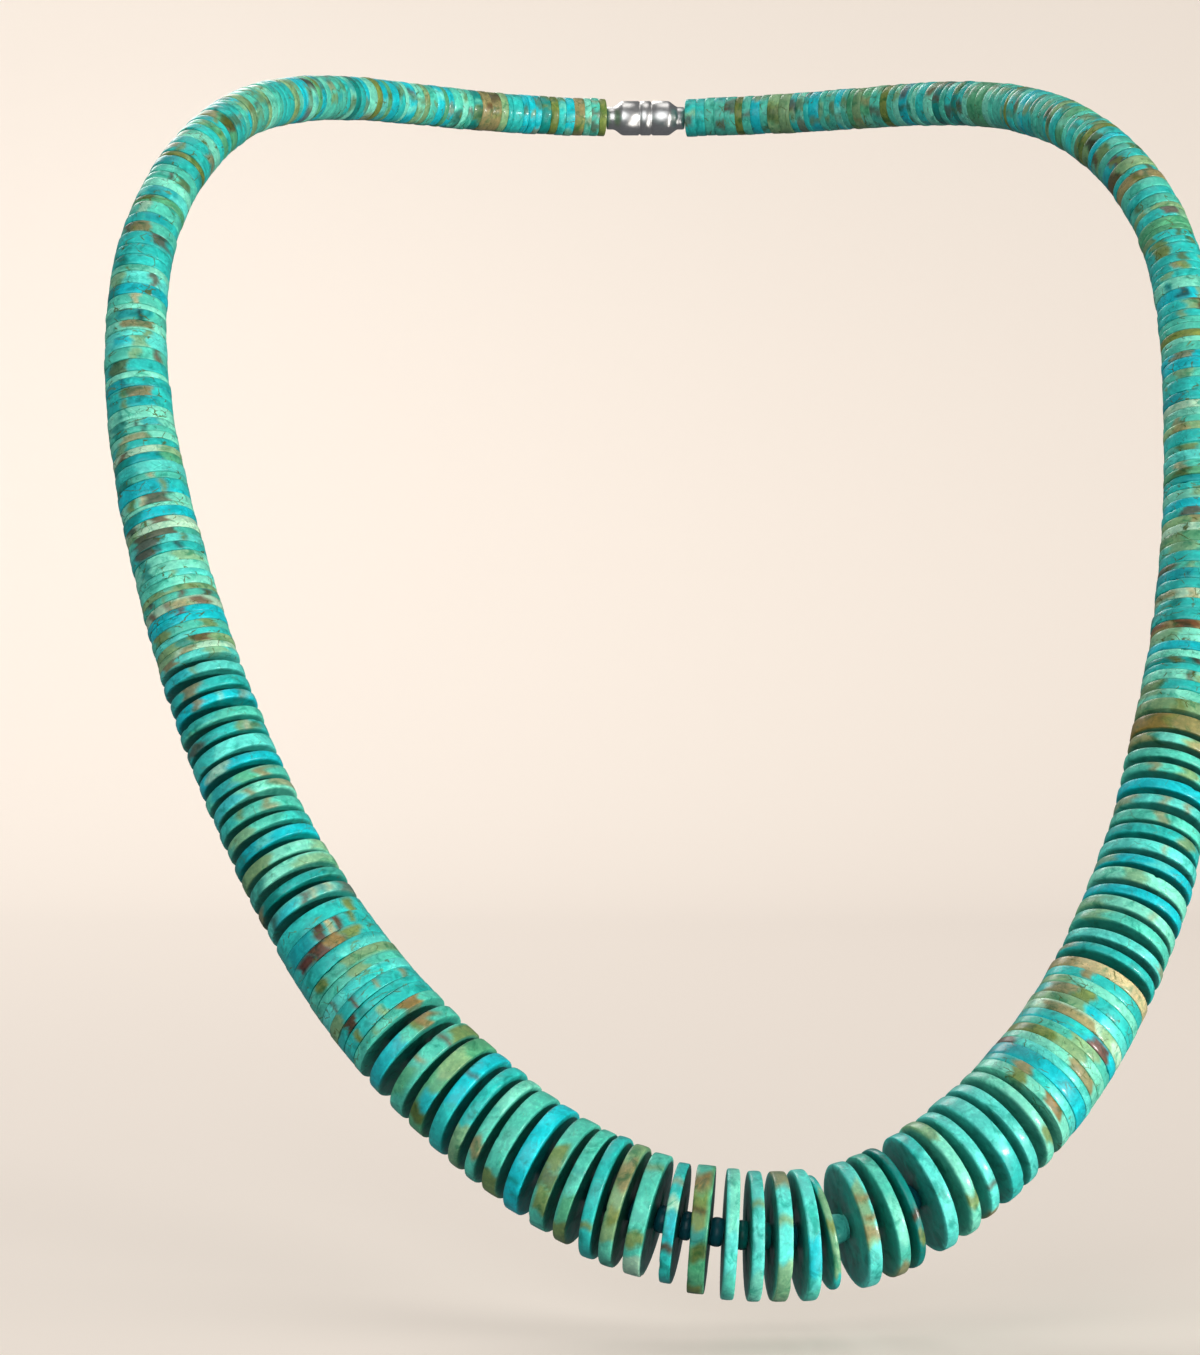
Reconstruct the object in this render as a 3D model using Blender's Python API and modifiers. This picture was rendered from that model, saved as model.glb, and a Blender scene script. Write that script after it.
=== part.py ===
"""Graduated necklace of flat stone discs on one thread, as it hangs when worn.

Metres, +Z up. The origin is the middle of the clasp, at the nape of the neck. The front of
the necklace hangs towards -Y, and +X is the wearer's left. The loop is followed from its middle
disc round the wearer's right side to the clasp, and back down the wearer's left side.
"""
import math
import random

import bpy
import numpy as np
from mathutils import Matrix, Vector

# Discs
LARGEST_DIAMETER = 0.0140
CENTER_THICKNESS = 0.0016
CENTER_GAP = 0.00115
CENTER_CHAMFER = 0.00018
BORE_DIAMETER = 0.0020
CENTER_SIDES = 12
SHORT_RUN_COUNT_RIGHT = 10
SHORT_RUN_COUNT_LEFT = 11
SHORT_RUN_THICKNESS = 0.00170
SIDE_COUNT = 16
SIDE_THICKNESS = 0.00125
SIDE_GAP = 0.00095
SIDE_CHAMFER = 0.00015
LONG_RUN_THICKNESS = 0.0014
LONG_RUN_COUNT_RIGHT = 61
LONG_RUN_COUNT_LEFT = 67
SEAM_DEPTH = 0.00022
DIAMETER_WANDER = 0.02
WANDER_SEED = 7

# Thread, spacer beads and clasp
THREAD_DIAMETER = 0.0010
SPACER_DIAMETER = 0.0032
SPACER_CHAMFER = 0.0001
CLEARANCE = 0.0003
CLASP_LENGTH = 0.0120
CLASP_DIAMETER = 0.0052
CLASP_END_DIAMETER = 0.0034
CLASP_NECK_LENGTH = 0.0018
CLASP_SIDES = 12
STRING_BEVEL_RESOLUTION = 3
BACK_DIAMETERS_PER_POINT = 2.0
BACK_END_LENGTH = 0.0015

# Disc diameter as a share of the largest: way to the clasp, wearer's right, wearer's left
TAPER = (
    (0.00, 1.000, 1.000),
    (0.05, 0.945, 0.990),
    (0.10, 0.910, 0.965),
    (0.15, 0.880, 0.925),
    (0.20, 0.815, 0.875),
    (0.25, 0.757, 0.849),
    (0.30, 0.729, 0.792),
    (0.40, 0.657, 0.697),
    (0.50, 0.570, 0.594),
    (0.60, 0.485, 0.502),
    (1.00, 0.400, 0.400),
)

# Route of the thread, from the middle disc round the wearer's right side and back to it
ROUTE = (
    (0.0040, -0.1311, -0.1459),
    (-0.0095, -0.1281, -0.1413),
    (-0.0212, -0.1231, -0.1336),
    (-0.0316, -0.1176, -0.1242),
    (-0.0427, -0.1092, -0.1097),
    (-0.0516, -0.1009, -0.0932),
    (-0.0585, -0.0932, -0.0753),
    (-0.0637, -0.0855, -0.0567),
    (-0.0657, -0.0772, -0.0372),
    (-0.0636, -0.0693, -0.0240),
    (-0.0587, -0.0596, -0.0138),
    (-0.0505, -0.0400, -0.0052),
    (-0.0398, -0.0212, -0.0014),
    (-0.0265, -0.0080, -0.0003),
    (-0.0130, -0.0017, 0.0000),
    (0.0000, 0.0000, 0.0000),
    (0.0130, -0.0017, 0.0000),
    (0.0267, -0.0072, -0.0003),
    (0.0405, -0.0180, -0.0014),
    (0.0520, -0.0335, -0.0050),
    (0.0608, -0.0510, -0.0134),
    (0.0661, -0.0614, -0.0235),
    (0.0687, -0.0694, -0.0363),
    (0.0689, -0.0764, -0.0509),
    (0.0680, -0.0828, -0.0656),
    (0.0658, -0.0895, -0.0802),
    (0.0622, -0.0965, -0.0941),
    (0.0578, -0.1038, -0.1075),
    (0.0515, -0.1115, -0.1199),
    (0.0432, -0.1186, -0.1309),
    (0.0325, -0.1251, -0.1399),
    (0.0195, -0.1300, -0.1459),
)
CLASP_POINT = ROUTE.index((0.0, 0.0, 0.0))

# Centre discs, from the wearer's right to the left: thickness and diameter as shares, the gap
# after the disc as a share, the lean across the view and the turn in degrees, and the tone
CENTER_DISCS = (
    (1.00, 1.00, 1.35, 0.0, 0.0, "sage"),
    (1.22, 0.99, 0.87, 1.0, 0.0, "seafoam"),
    (1.19, 1.00, 0.83, 2.0, 0.0, "olive"),
    (1.03, 1.00, 1.00, 4.4, 0.0, "turquoise"),
    (0.84, 1.00, 0.87, 4.4, 0.0, "turquoise"),
    (0.81, 0.99, 0.83, 4.1, 0.0, "sage"),
    (1.22, 0.98, 0.87, 4.8, 0.0, "seafoam"),
    (1.12, 0.99, 1.17, 4.2, 0.0, "cyan"),
    (1.16, 0.99, 0.87, 4.1, 0.0, "olive"),
    (0.91, 0.99, 1.00, 3.3, 0.0, "sage"),
    (0.88, 1.02, 0.70, 7.0, 0.0, "turquoise"),
    (0.94, 1.00, 0.87, 5.0, 0.0, "seafoam"),
    (1.19, 0.98, 1.30, 4.0, 0.0, "turquoise"),
    (0.78, 0.94, 1.17, 5.5, 0.0, "cyan"),
    (1.19, 0.99, 1.30, 5.5, 0.0, "olive"),
    (0.88, 1.00, 1.03, 3.5, 0.0, "seafoam"),
    (0.84, 1.00, 1.00, 2.2, 0.0, "turquoise"),
    (0.97, 1.00, 1.13, -1.0, 0.0, "seafoam"),
    (0.88, 1.01, 0.82, -1.0, 0.0, "cyan"),
    (0.47, 0.90, 2.24, 3.0, 0.0, "sage"),
    (0.94, 0.99, 1.30, -3.0, 0.0, "sand"),
    (0.81, 1.00, 0.72, -3.3, 0.0, "turquoise"),
    (0.53, 1.00, 2.35, -4.2, 0.0, "olive"),
    (0.91, 1.00, 1.17, -6.0, 3.0, "cyan"),
    (0.81, 1.01, 1.13, -4.5, 1.0, "sage"),
    (0.78, 0.98, 1.22, -2.7, 0.0, "turquoise"),
    (1.13, 1.01, 0.91, -0.8, 0.0, "seafoam"),
    (0.81, 1.00, 1.22, -1.5, 0.0, "seafoam"),
    (0.75, 1.00, 0.96, -1.5, 0.0, "seafoam"),
)
GAP_BEFORE_FIRST = 1.22
MIDDLE_DISC = len(CENTER_DISCS) // 2

TONES = {
    "turquoise": (0.055, 0.520, 0.470),
    "cyan": (0.030, 0.560, 0.600),
    "seafoam": (0.180, 0.590, 0.470),
    "sage": (0.220, 0.460, 0.270),
    "olive": (0.260, 0.300, 0.110),
    "sand": (0.480, 0.400, 0.230),
    "deep": (0.010, 0.110, 0.120),
    "silver": (0.720, 0.710, 0.690),
}
STONE_ROUGHNESS = 0.32
METAL_ROUGHNESS = 0.25
COLLECTION_NAME = "beaded_necklace"
SAMPLES_PER_POINT = 60
MERGE_DISTANCE = 0.00001
FRONT = Vector((0.0, -1.0, 0.0))


def closed_spline(points, samples):
    """Points of a smooth closed curve through the given points, evenly spread in its parameter."""
    knots = np.array(points)
    count = len(knots)
    chords = np.linalg.norm(np.roll(knots, -1, axis=0) - knots, axis=1)
    system = np.zeros((count, count))
    right_side = np.zeros((count, 3))
    for i in range(count):
        before, after = chords[i - 1], chords[i]
        system[i, i - 1] += after
        system[i, i] += 2.0 * (before + after)
        system[i, (i + 1) % count] += before
        slope_before = (knots[i] - knots[i - 1]) / before
        slope_after = (knots[(i + 1) % count] - knots[i]) / after
        right_side[i] = 3.0 * (after * slope_before + before * slope_after)
    slopes = np.linalg.solve(system, right_side)
    curve = []
    for i in range(count):
        nxt = (i + 1) % count
        for step in range(samples):
            t = step / samples
            square, cube = t * t, t * t * t
            start_share = 2.0 * cube - 3.0 * square + 1.0
            start_slope = (cube - 2.0 * square + t) * chords[i]
            end_slope = (cube - square) * chords[i]
            curve.append(start_share * knots[i] + (1.0 - start_share) * knots[nxt]
                         + start_slope * slopes[i] + end_slope * slopes[nxt])
    return np.array(curve)


class Route:
    """The thread's closed route, measured in metres from the middle disc."""

    def __init__(self, points, clasp_point):
        curve = closed_spline(points, SAMPLES_PER_POINT)
        self.curve = np.vstack([curve, curve[:1]])
        steps = np.linalg.norm(np.diff(self.curve, axis=0), axis=1)
        self.way = np.concatenate([[0.0], np.cumsum(steps)])
        self.length = self.way[-1]
        self.clasp = self.way[clasp_point * SAMPLES_PER_POINT]

    def at(self, way):
        """Point at a way from the middle disc. A negative way goes to the wearer's left."""
        way = way % self.length
        return Vector([float(np.interp(way, self.way, self.curve[:, axis])) for axis in range(3)])

    def along(self, way):
        """Unit direction in which the way grows."""
        reach = CENTER_THICKNESS / 2.0
        return (self.at(way + reach) - self.at(way - reach)).normalized()

    def side_length(self, side):
        """Length from the middle disc to the clasp on one side, 1 for the wearer's right."""
        return self.clasp if side > 0 else self.length - self.clasp


ROUTE_CURVE = Route(ROUTE, CLASP_POINT)


def disc_diameter(way, side):
    """Diameter of a disc at a way from the middle disc along one side."""
    shares = [row[1] if side > 0 else row[2] for row in TAPER]
    places = [row[0] for row in TAPER]
    return LARGEST_DIAMETER * float(np.interp(way / ROUTE_CURVE.side_length(side), places, shares))


def center_layout():
    """Way of each centre disc's middle, positive to the wearer's right, and the group's ends."""
    ways = []
    edge = 0.0
    for thickness, _, gap, _, _, _ in CENTER_DISCS:
        width = thickness * CENTER_THICKNESS
        ways.append(edge + width / 2.0)
        edge += width + gap * CENTER_GAP
    middle = ways[MIDDLE_DISC]
    first_end = middle + GAP_BEFORE_FIRST * CENTER_GAP
    return [middle - way for way in ways], first_end, edge - middle


def add_material(name, tone, metallic=0.0, roughness=STONE_ROUGHNESS):
    material = bpy.data.materials.new(name)
    material.use_nodes = True
    shader = material.node_tree.nodes["Principled BSDF"]
    shader.inputs["Base Color"].default_value = (*TONES[tone], 1.0)
    shader.inputs["Roughness"].default_value = roughness
    shader.inputs["Metallic"].default_value = metallic
    material.diffuse_color = (*TONES[tone], 1.0)
    return material


def add_object(name, data, collection, material):
    obj = bpy.data.objects.new(name, data)
    data.materials.append(material)
    collection.objects.link(obj)
    return obj


def profile_mesh(name, profile, closed):
    """Edges in the XZ plane through radius and height pairs, down the outer side first."""
    mesh = bpy.data.meshes.new(name)
    edges = [(i, i + 1) for i in range(len(profile) - 1)]
    if closed:
        edges.append((len(profile) - 1, 0))
    mesh.from_pydata([(radius, 0.0, height) for radius, height in profile], edges, [])
    return mesh


def add_screw(obj, sides):
    """Turns an object's profile about its own Z."""
    screw = obj.modifiers.new("turn", "SCREW")
    screw.axis = "Z"
    screw.steps = sides
    screw.render_steps = sides
    screw.use_merge_vertices = True
    screw.merge_threshold = MERGE_DISTANCE
    screw.use_smooth_shade = True


def add_center_disc(index, way, collection):
    """One drilled disc with chamfered rims, centred on the thread."""
    thickness, diameter, _, lean, turn, tone = CENTER_DISCS[index]
    side = 1 if way >= 0.0 else -1
    half = thickness * CENTER_THICKNESS / 2.0
    radius = diameter * disc_diameter(abs(way), side) / 2.0
    bore = BORE_DIAMETER / 2.0
    inset = radius - CENTER_CHAMFER
    profile = [(inset, half), (radius, half - CENTER_CHAMFER), (radius, CENTER_CHAMFER - half),
               (inset, -half), (bore, -half), (bore, half)]
    name = f"center_disc_{index + 1:02d}"
    mesh = profile_mesh(name, profile, closed=True)
    obj = add_object(name, mesh, collection, add_material(name + "_stone", tone))
    add_screw(obj, CENTER_SIDES)
    axis = -ROUTE_CURVE.along(way)
    front = (FRONT - axis * FRONT.dot(axis)).normalized()
    upright = Matrix((front, axis.cross(front), axis)).transposed()
    tilt = Matrix.Rotation(math.radians(lean), 3, "X") @ Matrix.Rotation(math.radians(turn), 3, "Y")
    obj.location = ROUTE_CURVE.at(way)
    obj.rotation_euler = (upright @ tilt).to_euler()
    return obj


def add_string(name, rings, side, collection, material):
    """One fused solid along the route through rings, each a way from the middle and a radius."""
    curve = bpy.data.curves.new(name, "CURVE")
    curve.dimensions = "3D"
    curve.bevel_depth = LARGEST_DIAMETER / 2.0
    curve.bevel_resolution = STRING_BEVEL_RESOLUTION
    curve.use_fill_caps = True
    spline = curve.splines.new("POLY")
    spline.points.add(len(rings) - 1)
    for point, (way, radius) in zip(spline.points, rings):
        point.co = (*ROUTE_CURVE.at(side * way), 1.0)
        point.radius = radius / curve.bevel_depth
    return add_object(name, curve, collection, material)


def packed_rings(start, thickness, count, side, wander):
    """Two rings for each of a run of touching discs: the seam and the disc's rim."""
    rings = []
    for i in range(count):
        middle = start + (i + 0.5) * thickness
        share = 1.0 + wander.uniform(-DIAMETER_WANDER, DIAMETER_WANDER)
        radius = share * disc_diameter(middle, side) / 2.0
        rings.append((start + i * thickness, radius - SEAM_DEPTH))
        rings.append((middle, radius))
    return rings


def spaced_rings(start, count, side):
    """Four rings for each of a run of discs that stand apart on small spacers."""
    core = SPACER_DIAMETER / 2.0
    rings = []
    for i in range(count):
        near = start + SIDE_GAP + i * (SIDE_THICKNESS + SIDE_GAP)
        far = near + SIDE_THICKNESS
        radius = disc_diameter((near + far) / 2.0, side) / 2.0
        rings += [(near, core), (near + SIDE_CHAMFER, radius),
                  (far - SIDE_CHAMFER, radius), (far, core)]
    return rings


def add_side_string(name, start, side, short_count, long_count, collection):
    """Short packed run, spaced run and long packed run of one side. Returns where it ends."""
    wander = random.Random(WANDER_SEED + side)
    rings = packed_rings(start, SHORT_RUN_THICKNESS, short_count, side, wander)
    spaced_start = start + short_count * SHORT_RUN_THICKNESS
    rings.append((spaced_start, disc_diameter(spaced_start, side) / 2.0 - SEAM_DEPTH))
    rings += spaced_rings(spaced_start + CLEARANCE, SIDE_COUNT, side)
    long_start = spaced_start + CLEARANCE + SIDE_COUNT * (SIDE_THICKNESS + SIDE_GAP) + SIDE_GAP
    rings += packed_rings(long_start, LONG_RUN_THICKNESS, long_count, side, wander)
    end = long_start + long_count * LONG_RUN_THICKNESS
    rings.append((end, disc_diameter(end, side) / 2.0 - SEAM_DEPTH))
    add_string(name, rings, side, collection, add_material(name + "_stone", "seafoam"))
    return end


def add_back_string(name, start, side, collection):
    """The stretch behind the neck, from the end of the long run to the clasp."""
    first = start + CLEARANCE
    last = ROUTE_CURVE.side_length(side) - CLASP_LENGTH / 2.0 - CLEARANCE
    spacing = BACK_DIAMETERS_PER_POINT * disc_diameter(first, side)
    pieces = max(2, round((last - first) / spacing))
    shoulders = first + BACK_END_LENGTH, last - BACK_END_LENGTH
    ways = [first] + list(np.linspace(*shoulders, pieces + 1))
    rings = [(way, disc_diameter(way, side) / 2.0) for way in ways]
    rings.append((last, CLASP_END_DIAMETER / 2.0))
    add_string(name, rings, side, collection, add_material(name + "_stone", "turquoise"))


def add_center_thread(ways, right_end, left_end, collection):
    """Thread through the centre discs with one spacer bead in each gap, as one solid."""
    thread, spacer = THREAD_DIAMETER / 2.0, SPACER_DIAMETER / 2.0
    halves = [row[0] * CENTER_THICKNESS / 2.0 for row in CENTER_DISCS]
    gaps = [(right_end, ways[0] + halves[0])]
    for i in range(len(ways) - 1):
        gaps.append((ways[i] - halves[i], ways[i + 1] + halves[i + 1]))
    gaps.append((ways[-1] - halves[-1], -left_end))
    rings = []
    for high, low in gaps:
        top, bottom = high - CLEARANCE, low + CLEARANCE
        rings += [(top, thread), (top - SPACER_CHAMFER, spacer),
                  (bottom + SPACER_CHAMFER, spacer), (bottom, thread)]
    add_string("center_thread", rings, 1, collection, add_material("center_thread_stone", "deep"))


def add_clasp(collection):
    """Plain barrel clasp along X at the nape."""
    half = CLASP_LENGTH / 2.0
    end, body = CLASP_END_DIAMETER / 2.0, CLASP_DIAMETER / 2.0
    shoulder = half - CLASP_NECK_LENGTH
    profile = [(0.0, half), (end, half), (end, shoulder + end / 2.0), (body, shoulder - end / 2.0),
               (body, end / 2.0 - shoulder), (end, -shoulder - end / 2.0), (end, -half), (0.0, -half)]
    mesh = profile_mesh("clasp", profile, closed=False)
    material = add_material("clasp_metal", "silver", metallic=1.0, roughness=METAL_ROUGHNESS)
    obj = add_object("clasp", mesh, collection, material)
    add_screw(obj, CLASP_SIDES)
    obj.rotation_euler = (0.0, math.radians(90.0), 0.0)
    return obj


def main():
    for obj in list(bpy.data.objects):
        bpy.data.objects.remove(obj)
    collection = bpy.data.collections.new(COLLECTION_NAME)
    bpy.context.scene.collection.children.link(collection)
    layout, right_end, left_end = center_layout()
    for index, way in enumerate(layout):
        add_center_disc(index, way, collection)
    add_center_thread(layout, right_end, left_end, collection)
    right_stop = add_side_string("string_right", right_end, 1, SHORT_RUN_COUNT_RIGHT,
                                 LONG_RUN_COUNT_RIGHT, collection)
    left_stop = add_side_string("string_left", left_end, -1, SHORT_RUN_COUNT_LEFT,
                                LONG_RUN_COUNT_LEFT, collection)
    add_back_string("back_right", right_stop, 1, collection)
    add_back_string("back_left", left_stop, -1, collection)
    add_clasp(collection)


main()
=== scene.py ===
"""Looks of the graduated disc necklace: every disc drilled, chipped and coloured by itself."""
import math
import random
from collections import namedtuple

import bpy
import numpy as np
from mathutils import Matrix, Vector


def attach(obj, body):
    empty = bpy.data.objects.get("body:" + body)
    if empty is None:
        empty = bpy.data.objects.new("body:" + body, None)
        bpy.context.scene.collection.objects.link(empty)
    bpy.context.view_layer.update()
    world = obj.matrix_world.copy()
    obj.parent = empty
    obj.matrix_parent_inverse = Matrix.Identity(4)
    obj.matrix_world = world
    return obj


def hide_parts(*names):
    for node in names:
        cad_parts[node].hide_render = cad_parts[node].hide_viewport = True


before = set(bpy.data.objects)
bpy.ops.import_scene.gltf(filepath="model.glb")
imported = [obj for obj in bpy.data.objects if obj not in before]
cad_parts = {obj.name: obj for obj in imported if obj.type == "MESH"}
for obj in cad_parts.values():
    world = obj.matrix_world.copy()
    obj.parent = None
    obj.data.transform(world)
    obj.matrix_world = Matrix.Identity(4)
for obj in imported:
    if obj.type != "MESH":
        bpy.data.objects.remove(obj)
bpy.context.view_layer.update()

MM = 0.001

# Discs, as the frame has them, in metres
LARGEST_DIAMETER = 0.0140
CENTER_THICKNESS = 0.0016
CENTER_GAP = 0.00115
BORE_DIAMETER = 0.0020
SHORT_RUN_COUNT_RIGHT = 10
SHORT_RUN_COUNT_LEFT = 11
SHORT_RUN_THICKNESS = 0.00170
SIDE_COUNT = 16
SIDE_THICKNESS = 0.00125
SIDE_GAP = 0.00095
LONG_RUN_THICKNESS = 0.0014
LONG_RUN_COUNT_RIGHT = 61
LONG_RUN_COUNT_LEFT = 67
CLEARANCE = 0.0003
THREAD_DIAMETER = 0.0010
SPACER_DIAMETER = 0.0032
CLASP_LENGTH = 0.0120
CLASP_DIAMETER = 0.0052
CLASP_END_DIAMETER = 0.0034
CLASP_NECK_LENGTH = 0.0018

# Disc diameter as a share of the largest: way to the clasp, wearer's right, wearer's left
TAPER = (
    (0.00, 1.000, 1.000),
    (0.05, 0.945, 0.990),
    (0.10, 0.910, 0.965),
    (0.15, 0.880, 0.925),
    (0.20, 0.815, 0.875),
    (0.25, 0.757, 0.849),
    (0.30, 0.729, 0.792),
    (0.40, 0.657, 0.697),
    (0.50, 0.570, 0.594),
    (0.60, 0.485, 0.502),
    (1.00, 0.400, 0.400),
)

# Route of the thread, from the middle disc round the wearer's right side and back to it
ROUTE = (
    (0.0040, -0.1311, -0.1459),
    (-0.0095, -0.1281, -0.1413),
    (-0.0212, -0.1231, -0.1336),
    (-0.0316, -0.1176, -0.1242),
    (-0.0427, -0.1092, -0.1097),
    (-0.0516, -0.1009, -0.0932),
    (-0.0585, -0.0932, -0.0753),
    (-0.0637, -0.0855, -0.0567),
    (-0.0657, -0.0772, -0.0372),
    (-0.0636, -0.0693, -0.0240),
    (-0.0587, -0.0596, -0.0138),
    (-0.0505, -0.0400, -0.0052),
    (-0.0398, -0.0212, -0.0014),
    (-0.0265, -0.0080, -0.0003),
    (-0.0130, -0.0017, 0.0000),
    (0.0000, 0.0000, 0.0000),
    (0.0130, -0.0017, 0.0000),
    (0.0267, -0.0072, -0.0003),
    (0.0405, -0.0180, -0.0014),
    (0.0520, -0.0335, -0.0050),
    (0.0608, -0.0510, -0.0134),
    (0.0661, -0.0614, -0.0235),
    (0.0687, -0.0694, -0.0363),
    (0.0689, -0.0764, -0.0509),
    (0.0680, -0.0828, -0.0656),
    (0.0658, -0.0895, -0.0802),
    (0.0622, -0.0965, -0.0941),
    (0.0578, -0.1038, -0.1075),
    (0.0515, -0.1115, -0.1199),
    (0.0432, -0.1186, -0.1309),
    (0.0325, -0.1251, -0.1399),
    (0.0195, -0.1300, -0.1459),
)
CLASP_POINT = ROUTE.index((0.0, 0.0, 0.0))

# Stone tones, as sRGB
TONES = {
    "turquoise": (38, 182, 173),
    "cyan": (8, 186, 194),
    "blue": (8, 156, 160),
    "aqua": (84, 206, 192),
    "seafoam": (76, 190, 166),
    "mint": (116, 212, 184),
    "pale": (164, 208, 176),
    "teal": (2, 134, 124),
    # Deep teal: a patch tone, and also the painted shade on the disc faces
    "deep": (0, 118, 106),
    "green": (80, 164, 118),
    "sage": (124, 166, 116),
    "olive": (112, 130, 60),
    "moss": (80, 92, 26),
    "ochre": (134, 106, 50),
    "tan": (140, 132, 86),
    "cream": (184, 174, 128),
    "brown": (84, 46, 12),
    "rust": (96, 42, 8),
    "red": (84, 20, 2),
    "black": (24, 20, 16),
    "petrol": (4, 88, 100),
}

# Centre discs, from the wearer's right to the left: thickness and diameter as shares, the gap
# after the disc as a share, the lean across the view and the turn in degrees
CENTER_DISCS = (
    (1.00, 1.00, 1.35, 0.0, 0.0),
    (1.22, 0.99, 0.87, 1.0, 0.0),
    (1.19, 1.00, 0.83, 2.0, 0.0),
    (1.03, 1.00, 1.00, 4.4, 0.0),
    (0.84, 1.00, 0.87, 4.4, 0.0),
    (0.81, 0.99, 0.83, 4.1, 0.0),
    (1.22, 0.98, 0.87, 4.8, 0.0),
    (1.12, 0.99, 1.17, 4.2, 0.0),
    (1.16, 0.99, 0.87, 4.1, 0.0),
    (0.91, 0.99, 1.00, 3.3, 0.0),
    (0.88, 1.02, 0.70, 7.0, 0.0),
    (0.94, 1.00, 0.87, 5.0, 0.0),
    (1.19, 0.98, 1.30, 4.0, 0.0),
    (0.78, 0.94, 1.17, 5.5, 0.0),
    (1.19, 0.99, 1.30, 5.5, 0.0),
    (0.88, 1.00, 1.03, 3.5, 0.0),
    (0.84, 1.00, 1.00, 2.2, 0.0),
    (0.97, 1.00, 1.13, -1.0, 0.0),
    (0.88, 1.01, 0.82, -1.0, 0.0),
    (0.47, 0.90, 2.24, 3.0, 0.0),
    (0.94, 0.99, 1.30, -3.0, 0.0),
    (0.81, 1.00, 0.72, -3.3, 0.0),
    (0.53, 1.00, 2.35, -4.2, 0.0),
    (0.91, 1.00, 1.17, -6.0, 3.0),
    (0.81, 1.01, 1.13, -4.5, 1.0),
    (0.78, 0.98, 1.22, -2.7, 0.0),
    (1.13, 1.01, 0.91, -0.8, 0.0),
    (0.81, 1.00, 1.22, -1.5, 0.0),
    (0.75, 1.00, 0.96, -1.5, 0.0),
)
GAP_BEFORE_FIRST = 1.22
MIDDLE_DISC = len(CENTER_DISCS) // 2

# Looks across a rim: the ground tone, then patches from its inner edge, 0, to its outer edge, 1
CENTER_LOOKS = (
    ("seafoam", ((0.1, 0.24, "ochre"), (0.24, 0.3, "olive"), (0.45, 0.95, "cyan"))),
    ("seafoam", ((0.0, 0.14, "olive"), (0.16, 0.2, "rust"), (0.43, 0.47, "tan"),
                 (0.55, 0.85, "green"))),
    ("green", ((0.13, 0.44, "sage"), (0.58, 0.75, "cyan"), (0.75, 0.88, "moss"))),
    ("cyan", ((0.22, 0.25, "brown"), (0.55, 1.0, "turquoise"))),
    ("turquoise", ((0.6, 1.0, "sage"),)),
    ("seafoam", ((0.0, 0.3, "mint"), (0.63, 0.77, "tan"))),
    ("seafoam", ((0.77, 1.0, "olive"),)),
    ("cyan", ((0.69, 0.73, "teal"),)),
    ("seafoam", ((0.23, 0.44, "olive"), (0.44, 0.6, "moss"), (0.6, 0.82, "olive"))),
    ("seafoam", ((0.32, 0.35, "teal"), (0.52, 0.8, "green"), (0.8, 1.0, "olive"))),
    ("turquoise", ((0.67, 0.73, "olive"),)),
    ("sage", ((0.12, 0.3, "tan"), (0.46, 0.58, "olive"), (0.75, 1.0, "seafoam"))),
    ("seafoam", ((0.07, 0.1, "olive"), (0.58, 0.71, "olive"), (0.8, 1.0, "pale"))),
    ("turquoise", ((0.09, 0.12, "tan"), (0.22, 0.32, "pale"), (0.36, 0.6, "cyan"),
                   (0.6, 0.67, "brown"))),
    ("green", ((0.0, 0.05, "seafoam"), (0.05, 0.14, "ochre"), (0.14, 0.4, "olive"),
               (0.26, 0.29, "red"), (0.4, 0.52, "teal"), (0.52, 0.66, "moss"),
               (0.9, 1.0, "olive"))),
    ("aqua", ((0.0, 0.4, "mint"), (0.75, 1.0, "seafoam"))),
    ("aqua", ((0.16, 0.2, "olive"), (0.72, 1.0, "mint"))),
    ("aqua", ((0.0, 0.06, "tan"), (0.25, 0.32, "sage"), (0.62, 1.0, "sage"))),
    ("aqua", ((0.42, 0.72, "cyan"), (0.84, 1.0, "seafoam"))),
    ("turquoise", ((0.1, 0.85, "sage"), (0.3, 0.4, "olive"))),
    ("aqua", ((0.1, 0.64, "sage"), (0.2, 0.26, "tan"), (0.36, 0.41, "ochre"), (0.46, 0.58, "tan"))),
    ("seafoam", ((0.3, 0.7, "mint"), (0.88, 1.0, "tan"))),
    ("teal", ((0.48, 0.56, "brown"), (0.65, 0.77, "olive"))),
    ("aqua", ((0.0, 0.2, "turquoise"),)),
    ("mint", ((0.0, 0.15, "sage"), (0.65, 0.77, "olive"))),
    ("aqua", ((0.7, 0.74, "brown"), (0.92, 1.0, "ochre"))),
    ("aqua", ((0.55, 1.0, "turquoise"),)),
    ("aqua", ()),
    ("mint", ((0.67, 0.83, "olive"),)),
)

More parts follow.
